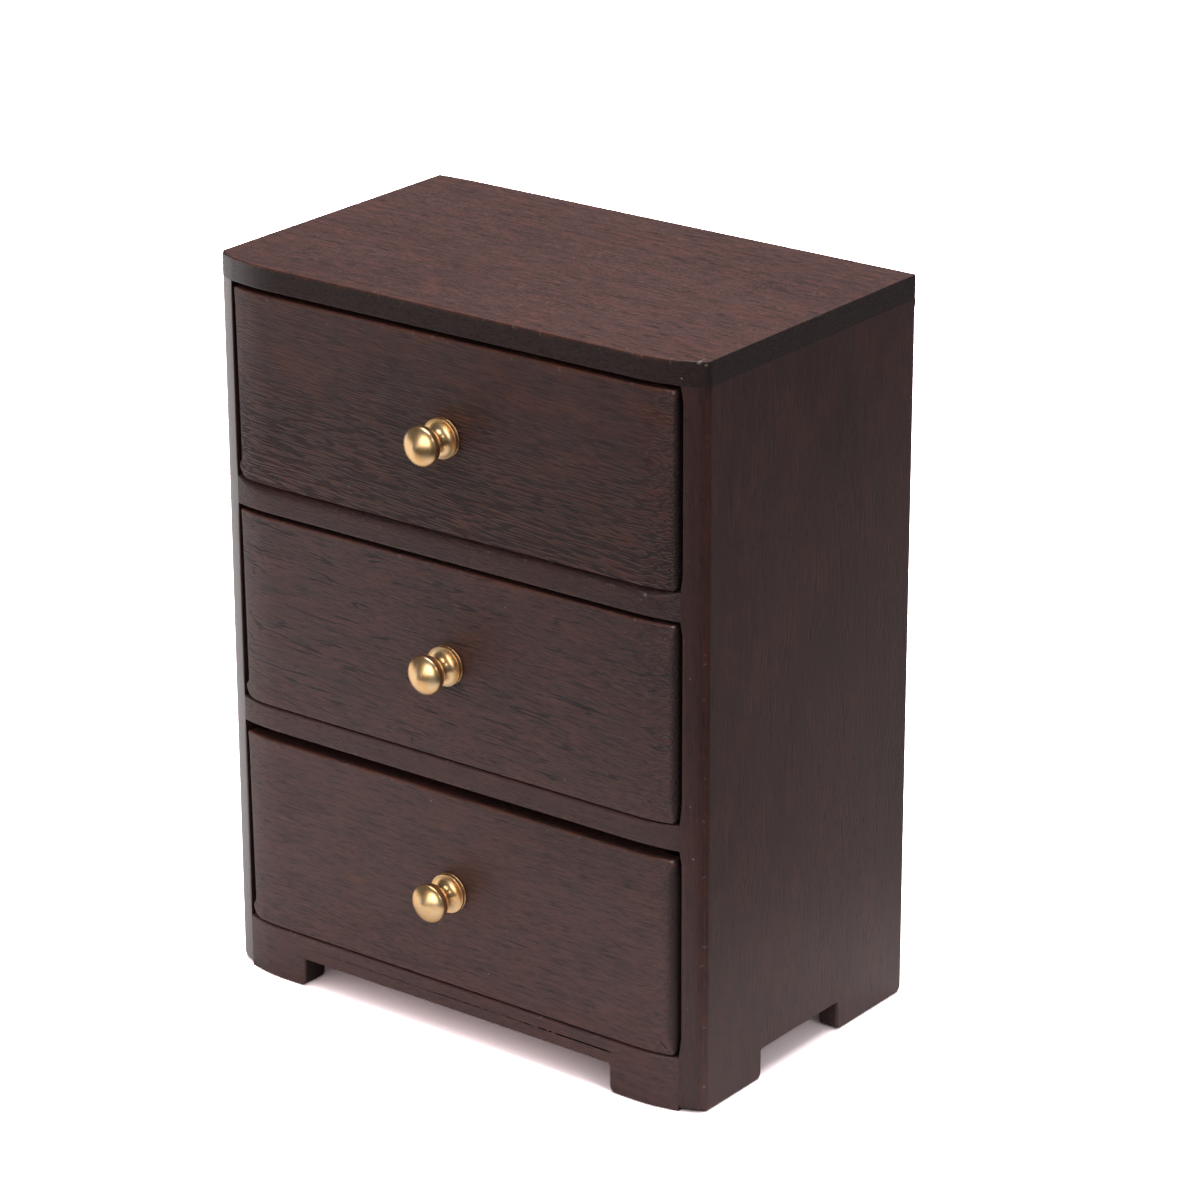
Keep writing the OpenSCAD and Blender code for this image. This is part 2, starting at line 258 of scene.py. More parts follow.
def stainedWood(name, board):
    tree = newTree(name)
    g = grainOf(tree, board)
    look = {**usualLook, **board}
    shade = lambda key: tuple(c * look["tone"] for c in stain[key])
    body = g["streak"] * look["streaky"] + g["rings"] * 0.15 + g["cloud"] * 0.3
    middle = (look["streaky"] + 0.45) / 2    # what body comes to on average
    colour = tree.mix(body.rise(middle - 0.13, middle + 0.1), shade("dark"), shade("mid"))
    colour = tree.mix(g["blotch"].rise(*shows["rust"]) * look["rust"], colour, shade("warm"))
    colour = tree.mix(g["cloud"].rise(*shows["cloudy"]) * look["cloudy"], colour, shade("dark"))
    colour = tree.mix(g["fibre"].rise(*shows["fibres"]) * look["fibres"], colour, shade("warm"))
    dark = 1 - g["fibre"].rise(*shows["darkFibres"])
    colour = tree.mix(dark * look["fibres"] * 1.4, colour, shade("pore"))
    share = (look["coarse"] + (g["patch"] - 0.5) * look["patchy"]).larger(0).smaller(1)
    if look["coarseFrom"]:
        share = share * (1 - 0.8 * (g["spot"][2] + (g["cloud"] - 0.5) * 0.05).rise(*look["coarseFrom"]))
    coarse = g["grooves"] * share
    pores = g["pores"] * look["fine"]
    lines = g["lines"] * look["lines"]
    # painted highlight: the lip below each groove is turned pale
    colour = tree.mix(g["litLips"] * (1 - g["grooves"]) * share * look["lipTone"], colour, shade("lip"))
    colour = tree.mix((pores + coarse * 1.1 + lines).smaller(1) * look["poreTone"], colour, shade("pore"))
    colour = tree.mix(g["end"] * 0.9, colour, shade("end"))
    if look["frontTone"]:
        colour = tree.mix(g["front"] * look["frontTone"], colour, shade("front"))
    edge = tree.add("Attribute", {"attribute_name": "edge"}, {}).out("Fac")
    rub = edge + (tree.noise(g["place"], 3, 0.65, over["rub"]) - 0.5) * 1.1
    colour = tree.mix(rub.rise(*shows["worn"]) * look["worn"], colour, stain["worn"])
    chip = tree.noise(g["place"], 2, 0.6, over["chip"])
    ahead = 1 - (g["spot"][1] - frontY).rise(*frontDepth)
    for x, z, size, kind, amount in look["marks"]:
        across, up = g["spot"][0] - x, g["spot"][2] - z
        reach = (across * across + up * up).sqrt() + (chip - 0.5) * (size * 1.8)
        colour = tree.mix((1 - reach.rise(size * 0.4, size * 0.9)) * ahead * amount, colour, stain[kind])
    dust = tree.add("TexVoronoi", {}, {"Vector": g["place"], "Scale": over["dust"], "Randomness": 1})
    chance = tree.add("SeparateColor", {}, {0: dust.out("Color")})
    specks = (1 - dust.rise(*shows["speck"])) * chance.rise(*shows["speckChance"])
    # painted glints: pale spots in the speck colour along the worn edges stand in for highlights
    glints = tree.noise(g["place"], 2, 0.5, over["glint"]).rise(*shows["glint"])
    glints = edge.rise(*shows["glintEdge"]) * glints * 0.2
    colour = tree.mix((specks * 0.45).larger(glints), colour, stain["speck"])
    rough = look["rough"] + (g["fibre"] - 0.5) * 0.12 + (pores + coarse) * 0.2 + g["end"] * 0.1
    rough = rough + g["front"] * look["frontRough"]
    height = g["fibre"] * 0.1 + g["rings"] * 0.1 + g["streak"] * 0.08 - pores * 0.3 - lines * 0.5 - coarse
    bump = tree.add("Bump", {}, {"Strength": look["relief"], "Distance": 0.0002, "Height": height})
    polish = g["front"] * (-1 * g["spot"][0]).rise(*polished) * look["polish"]
    return tree.finish(tree.add("BsdfPrincipled", {}, {
        "Base Color": colour, "Roughness": rough, "Normal": bump, "Specular IOR Level": look["gloss"],
        "Coat Weight": polish, "Coat Roughness": 0.25}))


def rawWood(name, board):
    # drawer boxes and dowels, planed and left without a finish
    tree = newTree(name)
    g = grainOf(tree, board)
    colour = tree.mix((g["streak"] * 0.5 + g["rings"] * 0.5).rise(0.3, 0.7), board["dark"], board["light"])
    colour = tree.mix(g["blotch"].rise(0.4, 0.75) * 0.4, colour, board["warm"])
    colour = tree.mix(g["pores"] * 0.6, colour, board["pore"])
    edge = tree.add("Attribute", {"attribute_name": "edge"}, {}).out("Fac")
    colour = tree.mix(edge * 0.25, colour, board["pore"])
    height = g["fibre"] * 0.5 + g["rings"] * 0.3 - g["pores"]
    bump = tree.add("Bump", {}, {"Strength": 0.6, "Distance": 0.0001, "Height": height})
    return tree.finish(tree.add("BsdfPrincipled", {}, {
        "Base Color": colour, "Roughness": 0.62 + (g["fibre"] - 0.5) * 0.2, "Normal": bump}))


# how finely a board's edges are drawn, and how far and how much they wear
edging = dict(holds=(0.4 * mm, 1.0 * mm, 1.8 * mm, 3.0 * mm),    # rings on the flat, just inside an arris
              beside=(0.6 * mm, 1.4 * mm, 2.6 * mm, 4.5 * mm),    # columns beside a corner
              arcSteps=6, cornerStep=0.25 * mm, wearReach=0.8 * mm, cornerReach=1.2 * mm, cornerWear=0.25,
              fullWear=0.5 * mm, rub=0.3)


def addPiece(name, bm, material, slot, body, *nodes):
    mesh = bpy.data.meshes.new(name)
    bm.to_mesh(mesh)
    bm.free()
    piece = bpy.data.objects.new(name, mesh)
    scene.collection.objects.link(piece)
    mesh.shade_smooth()
    mesh.materials.append(material)
    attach(piece, body)
    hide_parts(*nodes)
    return piece


def evenNormals(piece):
    # flats keep their own normals, and only the arrises turn
    modifier = piece.modifiers.new("evenNormals", "WEIGHTED_NORMAL")
    modifier.mode, modifier.keep_sharp = "FACE_AREA", True
    return piece


def spots(length, step, marks):
    found = {s for s in edging["beside"] if s < length / 2}
    found |= {length - s for s in found}
    found |= {m for m in marks if 0.3 * mm < m < length - 0.3 * mm}
    pieces = max(2, round(length / step))
    for i in range(1, pieces):
        if min(abs(length * i / pieces - s) for s in found | {0, length}) > step * 0.45:
            found.add(length * i / pieces)
    return sorted(found)


def slab(outline, put, near, far, arris, step=4 * mm, marks=((), ()), shape=None, walls=5, rubbed=None):
    # a board: outline = corners (a, b, radius) going anticlockwise, flat faces at near and far; arris and
    # rubbed give the radius and the wear of its edges at (a, b, side), and marks ask for a row of points
    corners = [(Vector((a, b)), r) for a, b, r in outline]
    count = len(corners)
    edges = [(corners[(k + 1) % count][0] - corners[k][0]) for k in range(count)]
    ways = [e.normalized() for e in edges]
    inward = [Vector((-w.y, w.x)) for w in ways]

    def corner(k, part, d1, d2):
        c, radius = corners[k]
        n1, n2 = inward[k - 1], inward[k]
        convex = ways[k - 1].x * ways[k].y - ways[k - 1].y * ways[k].x > 0
        d = d1 + (d2 - d1) * part
        n = n1 * math.cos(part * math.pi / 2) + n2 * math.sin(part * math.pi / 2)
        if convex and d < radius:
            return c + (n1 + n2) * radius - n * (radius - d)
        if convex or radius == 0:
            return c + n1 * d1 + n2 * d2
        return c - (n1 + n2) * radius + n * (radius + d)

    columns = []    # (corner or edge, its number, share along it, wear)
    for k in range(count):
        radius = corners[k][1]
        parts = 0 if radius == 0 else max(3, min(10, round(radius / edging["cornerStep"])))
        for j in range(parts + 1):
            columns.append(("corner", k, j / parts if parts else 0.5, edging["cornerWear"]))
        length = edges[k].length
        which = 0 if abs(ways[k].x) > 0.5 else 1
        start, sign = corners[k][0][which], ways[k][which]
        for s in spots(length, step, [(m - start) * sign for m in marks[which]]):
            ends = min(s - radius, length - s - corners[(k + 1) % count][1])
            if ends > 0.2 * mm:
                wear = edging["cornerWear"] * math.exp(-ends / edging["cornerReach"])
                columns.append(("edge", k, s / length, wear))

    def arrisAt(k, share, side):
        p = corners[k][0] + edges[k] * share
        return arris(p.x, p.y, side)

    bm = bmesh.new()
    layer = bm.verts.layers.float.new("edge")
    rings = []
    sign = 1 if far > near else -1
    arc = [j / edging["arcSteps"] for j in range(edging["arcSteps"] + 1)]
    levels = [("hold", 0, h) for h in reversed(edging["holds"])] + [("arc", 0, j) for j in arc]
    levels += [("wall", 0, (j + 1) / (walls + 1)) for j in range(walls)]
    levels += [("arc", 1, 1 - j) for j in arc] + [("hold", 1, h) for h in edging["holds"]]
    for kind, side, amount in levels:
        turn = amount * math.pi / 2
        inset = {"hold": lambda r: r + amount, "arc": lambda r: r * (1 - math.sin(turn)),
                 "wall": lambda r: 0}[kind]
        ring = []
        for where, k, share, columnWear in columns:
            if where == "corner":
                r1, r2 = arrisAt(k - 1, 1, side), arrisAt(k, 0, side)
                p = corner(k, share, inset(r1), inset(r2))
                r = r1 + (r2 - r1) * share
                other = arrisAt(k, 0, 1 - side)
            else:
                r, other = arrisAt(k, share, side), arrisAt(k, share, 1 - side)
                m = (k + 1) % count
                a = corner(k, 1, inset(arrisAt(k - 1, 1, side)), inset(arrisAt(k, 0, side)))
                b = corner(m, 0, inset(arrisAt(k, 1, side)), inset(arrisAt(m, 0, side)))
                first = (corner(k, 1, 0, 0) - corners[k][0]).dot(ways[k])
                last = (corner(m, 0, 0, 0) - corners[k][0]).dot(ways[k])
                p = a.lerp(b, (share * edges[k].length - first) / (last - first))
                p += inward[k] * (inset(r) - (p - corners[k][0]).dot(inward[k]))
            if kind == "hold":
                t, wear = 0, math.exp(-amount / edging["wearReach"])
            elif kind == "arc":
                t, wear = r * (1 - math.cos(turn)), 1
            else:
                depth = abs(far - near)
                t = r + (depth - r - other) * amount
                wear = max(math.exp(-min(t - r, depth - other - t) / edging["wearReach"]), columnWear)
            level = near + sign * t if side == 0 else far - sign * t
            vert = bm.verts.new(put(p.x, p.y, level))
            rub = rubbed(p.x, p.y, side) if rubbed else edging["rub"]
            vert[layer] = wear * min(1, max(r, 0.1 * mm) / edging["fullWear"]) * rub
            ring.append((vert, p))
        rings.append((ring, level))
    for (lower, _), (upper, _) in zip(rings, rings[1:]):
        for i in range(len(lower)):
            j = (i + 1) % len(lower)
            bm.faces.new((lower[i][0], lower[j][0], upper[j][0], upper[i][0]))
            if columns[i][0] == "corner" and corners[columns[i][1]][1] == 0:    # square corners stay crisp
                bm.edges.get((lower[i][0], upper[i][0])).smooth = False
    for ring, level in (rings[0], rings[-1]):
        fillFace(bm, layer, ring, level, put, step)
    bmesh.ops.remove_doubles(bm, verts=bm.verts, dist=1e-6)
    bmesh.ops.recalc_face_normals(bm, faces=bm.faces)
    if shape:
        for vert in bm.verts:
            vert.co = shape(vert.co)
    return bm


def fillFace(bm, layer, ring, level, put, step):
    # closes a board's flat face with points every step, so that it can bend
    flat = np.array([p[:] for _, p in ring])
    edge = np.roll(flat, -1, 0)
    low, high = flat.min(0), flat.max(0)
    xs, ys = (np.linspace(low[i], high[i], max(3, round((high[i] - low[i]) / step) + 1)) for i in (0, 1))
    inside = []
    for a in xs[1:-1]:
        for b in ys[1:-1]:
            crossing = ((flat[:, 1] > b) != (edge[:, 1] > b))
            with np.errstate(divide="ignore", invalid="ignore"):
                at = flat[:, 0] + (b - flat[:, 1]) * (edge[:, 0] - flat[:, 0]) / (edge[:, 1] - flat[:, 1])
            clear = np.min(np.hypot(flat[:, 0] - a, flat[:, 1] - b)) > step * 0.5
            if np.sum(crossing & (at > a)) % 2 and clear:
                inside.append(Vector((a, b)))
    points = [p for _, p in ring] + inside
    lines = [(i, (i + 1) % len(ring)) for i in range(len(ring))]
    made, _, faces, origins, _, _ = delaunay_2d_cdt(points, lines, [], 1, 1e-9)
    verts = []
    for p, origin in zip(made, origins):
        if origin and origin[0] < len(ring):
            verts.append(ring[origin[0]][0])
        else:
            vert = bm.verts.new(put(p.x, p.y, level))
            vert[layer] = 0
            verts.append(vert)
    for face in faces:
        corners = list(dict.fromkeys(verts[i] for i in face))
        if len(corners) > 2:
            try:
                bm.faces.new(corners)
            except ValueError:
                pass    # a face that two equal points left twice


def carve(piece, *cutters):
    # takes closed shapes out of a piece
    for cutter in cutters:
        mesh = bpy.data.meshes.new("cutter")
        cutter.to_mesh(mesh)
        cutter.free()
        tool = bpy.data.objects.new("cutter", mesh)
        scene.collection.objects.link(tool)
        modifier = piece.modifiers.new("carve", "BOOLEAN")
        modifier.operation, modifier.solver, modifier.object = "DIFFERENCE", "EXACT", tool
        bpy.context.view_layer.update()
        cut = bpy.data.meshes.new_from_object(piece.evaluated_get(bpy.context.evaluated_depsgraph_get()))
        piece.modifiers.remove(modifier)
        old, piece.data = piece.data, cut
        cut.name = piece.name
        bpy.data.meshes.remove(old)
        bpy.data.objects.remove(tool)
        bpy.data.meshes.remove(mesh)
    return piece


def blockCutter(*boxes):
    bm = bmesh.new()
    for low, high in boxes:
        for vert in bmesh.ops.create_cube(bm, size=1)["verts"]:
            vert.co = Vector(((low[i] + high[i]) / 2 + vert.co[i] * (high[i] - low[i]) for i in range(3)))
    return bm


def turned(profile, footings, sides=48):
    # a turned shape, its profile given as (along, radius), once at each (foot, axis)
    bm = bmesh.new()
    bm.verts.layers.float.new("edge")
    angles = [2 * math.pi * i / sides for i in range(sides)]
    for foot, way in footings:
        turn = Vector((0, 0, 1)).rotation_difference(Vector(way)).to_matrix()
        rings = []
        for along, radius in profile:
            spun = [(radius * math.cos(a), radius * math.sin(a), along) for a in (angles if radius else [0])]
            rings.append([bm.verts.new(Vector(foot) + turn @ Vector(p)) for p in spun])
        for a, b in zip(rings, rings[1:]):
            for i in range(sides):
                j = (i + 1) % sides
                quad = [a[i % len(a)], a[j % len(a)], b[j % len(b)], b[i % len(b)]]
                bm.faces.new(list(dict.fromkeys(quad)))
    bmesh.ops.recalc_face_normals(bm, faces=bm.faces)
    return bm


# the bowed front: where it starts to sweep back, how deep, and the upright corners at the left and the right
front = dict(sweep=18 * mm, depth=5 * mm, corner=(1.8 * mm, 1.9 * mm), unevenness=0.12 * mm, fade=20 * mm)


def bow(x):
    # how far the front sweeps back at x
    over = max(0.0, abs(x) - (caseX - front["sweep"]))
    radius = (front["sweep"] ** 2 + front["depth"] ** 2) / (2 * front["depth"])
    return radius - math.sqrt(radius * radius - over * over)


def bowed(fade, corner=None):
    # bends the front end of a board to the bow, and rounds the case's upright corners
    def shape(p):
        share = min(1, max(0, 1 - (p.y - frontY) / fade))
        x, y = p.x, p.y
        if corner:
            r = corner[0] if x < 0 else corner[1]
            qx, qy = abs(x) - (caseX - r), frontY + r - y
            if qx > 0 and qy > 0:
                k = max(qx, qy) / math.hypot(qx, qy)
                x, y = math.copysign(caseX - r + qx * k, x), frontY + r - qy * k
        drift = noise.noise(Vector((x * 22, 7, p.z * 26))) * front["unevenness"]
        return Vector((x, y + (bow(x) + max(0, drift)) * share, p.z))
    return shape


flat = lambda a, b, t: Vector((a, b, t))        # outline seen from above
upright = lambda a, b, t: Vector((a, t, b))     # outline seen from the front
sideways = lambda a, b, t: Vector((t, a, b))    # outline seen from the side


def oblong(a0, b0, a1, b1, *radii):
    # the outline of a plain board, its corners going anticlockwise from the first
    return [(a, b, r) for (a, b), r in zip(((a0, b0), (a1, b0), (a1, b1), (a0, b1)), radii or (0, 0, 0, 0))]


# the case: the radii of its edges, joint where boards meet, and its cuts
case = dict(arris=0.7 * mm, joint=0.03 * mm, topArris=0.4 * mm, topSofter=0.9 * mm,    # softer at the left
            stileArris=dict(left=0.5 * mm, right=1.4 * mm), railUnder=0.3 * mm, inside=0.3 * mm,
            dividerTop={"lower_divider": 0.7 * mm, "upper_divider": 2.8 * mm}, dividerUnder=0.8 * mm,
            toe=2 * mm, frontToe=2.2 * mm, notch=0.4 * mm, backCorner=0.5 * mm,
            footHeight=8 * mm, footWide=26.5 * mm, footDeep=30 * mm, housing=10 * mm)
openings = [(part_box("bottom_board")[1].z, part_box("lower_divider")[0].z),
            (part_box("lower_divider")[1].z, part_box("upper_divider")[0].z),
            (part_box("upper_divider")[1].z, topZ)]


def tightening(radius, distance, over):
    # an edge's radius, falling to that of a joint over the last stretch before it
    return case["joint"] + (radius - case["joint"]) * min(1, max(0, distance / over))


def inOpening(z):
    # 1 along an opening, falling to 0 at the boards above and below it
    return max(min(1, max(0, (z - low) / (4 * mm)), max(0, (high - z) / (4 * mm))) for low, high in openings)


def topArris(a, b, side):
    if side == 0:    # upper face
        return case["topArris"] + case["topSofter"] * max(0, min(1, (-a - innerX + 4 * mm) / (9 * mm)))
    if b < frontY + 1 * mm:    # lower front edge
        return tightening(case["arris"], innerX - abs(a), 3 * mm)
    return case["joint"]


def topRubbed(a, b, side):
    return 0.8 if side == 0 and abs(a) < innerX and b < frontY + 2 * mm else 0.1


# the speck marks at the front right corner of the top are painted glints
topWood = boardOf("x", heart=(0.02, -0.06), seed=2.3, ring=5 * mm, lean=(0.01, 0.02), tone=1.26, coarse=0.25,
                  grooveLong=2.5 * mm, grooveWide=0.7 * mm, poreLong=1.8 * mm, fine=1, poreTone=0.85,
                  fibres=0.9, lines=0.15, frontTone=0.85, frontRough=0.3, polish=1,
                  marks=[(0.0717, 0.1955, 0.4 * mm, "speck", 0.6), (0.0755, 0.1997, 0.6 * mm, "speck", 0.5),
                         (0.0768, 0.1992, 0.5 * mm, "speck", 0.5)])
topMarks = (-innerX, -innerX + 0.8 * mm, innerX - 0.8 * mm, innerX)
topOutline = oblong(-caseX, frontY, caseX, backY, *front["corner"], case["backCorner"], case["backCorner"])
board = slab(topOutline, flat, caseZ, topZ, topArris, marks=(topMarks, ()), shape=bowed(front["fade"]),
             rubbed=topRubbed)
evenNormals(addPiece("topBoard", board, stainedWood("stainedTop", topWood), "stained_wood", "case",
                     "top_board"))

sideMarks = ((), [z + s * mm for pair in openings for z in pair for s in (-0.8, 0, 0.8)])
footY = (frontY + case["footDeep"], backY - case["footDeep"])
sideOutline = [(frontY, 0, case["frontToe"]), (footY[0], 0, case["toe"]),
               (footY[0], case["footHeight"], case["notch"]), (footY[1], case["footHeight"], case["notch"]),
               (footY[1], 0, case["toe"]), (backY, 0, case["toe"]), (backY, topZ, 0), (frontY, topZ, 0)]
# the sides' lower tone darkens them, partly for their own stain and partly as painted shade
sideTones = dict(tone=0.88, coarse=0, patchy=0.3, fine=0.6, cloudy=0.25, rust=0.3, streaky=0.15, fibres=0.32,
                 lines=0.25, poreLong=3 * mm, poreWide=0.35 * mm, jitter=0.3 * mm)
sideWoods = {"left": boardOf("z", heart=(0.01, 0.05), seed=5.1, rough=0.32, gloss=1, polish=0.9,
                             **sideTones),
             "right": boardOf("z", heart=(0.02, -0.05), seed=7.7, ring=6 * mm,
                              marks=[(0.0747, 0.0703, 0.4 * mm, "speck", 0.7)], **sideTones)}


def sideRubbed(a, b, side):
    return (0.5 if side == 0 else 0.3) if a < frontY + 3 * mm else 0.15


for name, way in (("left", -1), ("right", 1)):
    def sideArris(a, b, side):
        if side == 1 and a < frontY + 1 * mm:    # inner front edge, eased along the openings
            return case["joint"] + (case["stileArris"][name] - case["joint"]) * inOpening(b)
        return tightening(case["arris"], topZ - b, 3 * mm)

    board = slab(sideOutline, sideways, way * caseX, way * innerX, sideArris, marks=sideMarks,
                 shape=bowed(front["fade"], front["corner"]), walls=8, rubbed=sideRubbed)
    side = addPiece(name + "Side", board, stainedWood("stained" + name.title(), sideWoods[name]),
                    "stained_wood", "case", name + "_side_panel")
    rebate = blockCutter(((min(way * (innerX - mm), way * rebateX), panelY, case["footHeight"]),
                          (max(way * (innerX - mm), way * rebateX), backY + mm, topZ + mm)))
    evenNormals(carve(side, rebate))

railWood = boardOf("x", heart=(0.03, 0.0), seed=11.2, tone=1.2, coarse=0.1, lines=0, fibres=0.5,
                   marks=[(-0.0478, 0.0140, 0.7 * mm, "worn", 0.9)])


def railArris(a, b, side):
    return tightening(case["arris"] if side == 0 else case["railUnder"], innerX - abs(a), 3 * mm)


gapX = caseX - case["footWide"]
railTop = openings[0][0]
railOutline = [(-innerX, 0, 0), (-gapX, 0, case["toe"]), (-gapX, case["footHeight"], case["notch"]),
               (gapX, case["footHeight"], case["notch"]), (gapX, 0, case["toe"]), (innerX, 0, 0),
               (innerX, railTop, 0), (-innerX, railTop, 0)]
board = slab(railOutline, upright, frontY, railY, railArris, step=3 * mm, shape=bowed(front["fade"]))
evenNormals(addPiece("baseRail", board, stainedWood("stainedRail", railWood), "stained_wood", "case",
                     "base_rail"))

dividerMarks = ((-innerX + 0.8 * mm, -innerX + 1.6 * mm, innerX - 1.6 * mm, innerX - 0.8 * mm), ())
housingY = frontY + case["housing"]
dividerOutline = [(-innerX, frontY, 0), (innerX, frontY, 0), (innerX, housingY, 0), (housingX, housingY, 0),
                  (housingX, panelY, 0), (-housingX, panelY, 0), (-housingX, housingY, 0),
                  (-innerX, housingY, 0)]
dividerWoods = {"lower_divider": boardOf("x", heart=(0.06, 0.01), seed=13.9, tone=1.1, coarse=0.2,
                                         lines=0.1),
                "upper_divider": boardOf("x", heart=(0.15, 0.01), seed=17.3, coarse=0.35, lines=0.1,
                                         marks=[(0.0622, 0.1387, 0.7 * mm, "speck", 0.45),
                                                (0.0612, 0.1372, 0.4 * mm, "speck", 0.4)])}
for node, wood in dividerWoods.items():
    def dividerArris(a, b, side):
        if b > frontY + 1 * mm:
            return case["joint"]
        return tightening(case["dividerTop"][node] if side == 0 else case["dividerUnder"],
                          innerX - abs(a), 6 * mm)

    low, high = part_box(node)
    board = slab(dividerOutline, flat, high.z, low.z, dividerArris, marks=dividerMarks,
                 shape=bowed(front["fade"]))
    evenNormals(addPiece(node.split("_")[0] + "Divider", board, stainedWood("stained" + node.title(), wood),
                         "stained_wood", "case", node))

low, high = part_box("bottom_board")
board = slab(oblong(-housingX, low.y, housingX, high.y), flat, high.z, low.z,
             lambda a, b, side: case["inside"], step=8 * mm)
bottomWood = boardOf("x", heart=(0.01, 0.03), seed=19.4, tone=0.8)
evenNormals(addPiece("bottomBoard", board, stainedWood("stainedBottom", bottomWood), "stained_wood", "case",
                     "bottom_board"))

low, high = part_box("back_panel")
board = slab(oblong(low.x, low.z, high.x, high.z), upright, low.y, high.y,
             lambda a, b, side: case["inside"], step=8 * mm)
backWood = boardOf("z", heart=(-0.03, 0.09), seed=23.8, tone=0.85, worn=0.3)
backPiece = addPiece("backPanel", board, stainedWood("stainedBack", backWood), "stained_wood", "case",
                     "back_panel")
print("case made")

# the drawer fronts: radii of their edges and corners, leftArris at the lower and the upper end
drawerFront = dict(arris=0.5 * mm, backArris=0.25 * mm, leftCorner=3.4 * mm, rightCorner=1.2 * mm,
                   upperCorner=0.8 * mm, leftArris=(2.6 * mm, 0.9 * mm),
                   rightArris=dict(bottom=2.8 * mm, middle=1.7 * mm, top=1.1 * mm),
                   recessRadius=3.3 * mm, recessDepth=1.8 * mm)
drawerWoods = {"bottom": boardOf("x", heart=(0.02, 0.012), lean=(0.03, 0.02), seed=29.3, tone=1.28,
                                 coarse=0.2, rust=0.25, fibres=0.7, jitter=0.4 * mm,
                                 marks=[(0.0299, 0.0630, 0.8 * mm, "worn", 0.5),
                                        (0.0697, 0.0689, 0.5 * mm, "speck", 0.5)]),
               "middle": boardOf("x", heart=(0.12, 0.02), lean=(0.04, 0.03), seed=31.6, tone=1.26,
                                 coarse=0.2, fine=0.6, fibres=0.7, lines=1, jitter=0.1 * mm, ripple=0.5 * mm,
                                 poreTone=0.9, gloss=0.55,
                                 marks=[(-0.0654, 0.1155, 0.8 * mm, "pore", 0.9),
                                        (-0.0123, 0.0818, 1 * mm, "pore", 0.9),
                                        (0.0697, 0.1314, 0.5 * mm, "speck", 0.5)]),
               "top": boardOf("x", heart=(0.15, 0.016), lean=(0.05, 0.04), seed=37.9, tone=1.08, coarse=1.1,
                              rust=1, patchy=0.5, poreTone=0.75, lipTone=1, coarseFrom=(0.150, 0.188),
                              relief=1.4, grooveLong=17 * mm, jitter=0.2 * mm, fibres=0.5, gloss=0.45,
                              fine=0.35, marks=[(0.0697, 0.1917, 0.5 * mm, "speck", 0.5)])}
# the boxes behind them, of bare wood with plywood bottoms
drawerBox = dict(arris=0.4 * mm, plyArris=0.2 * mm, frontCorner=0.2 * mm, backCorner=0.6 * mm, step=8 * mm)
boxTones = dict(dark=(0.36, 0.20, 0.105), light=(0.56, 0.36, 0.21), warm=(0.50, 0.27, 0.13),
                pore=(0.22, 0.12, 0.06))
plyTones = dict(dark=(0.46, 0.30, 0.17), light=(0.66, 0.48, 0.30), warm=(0.58, 0.39, 0.22),
                pore=(0.36, 0.22, 0.12))


def middleZ(node):
    low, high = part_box(node)
    return (low.z + high.z) / 2


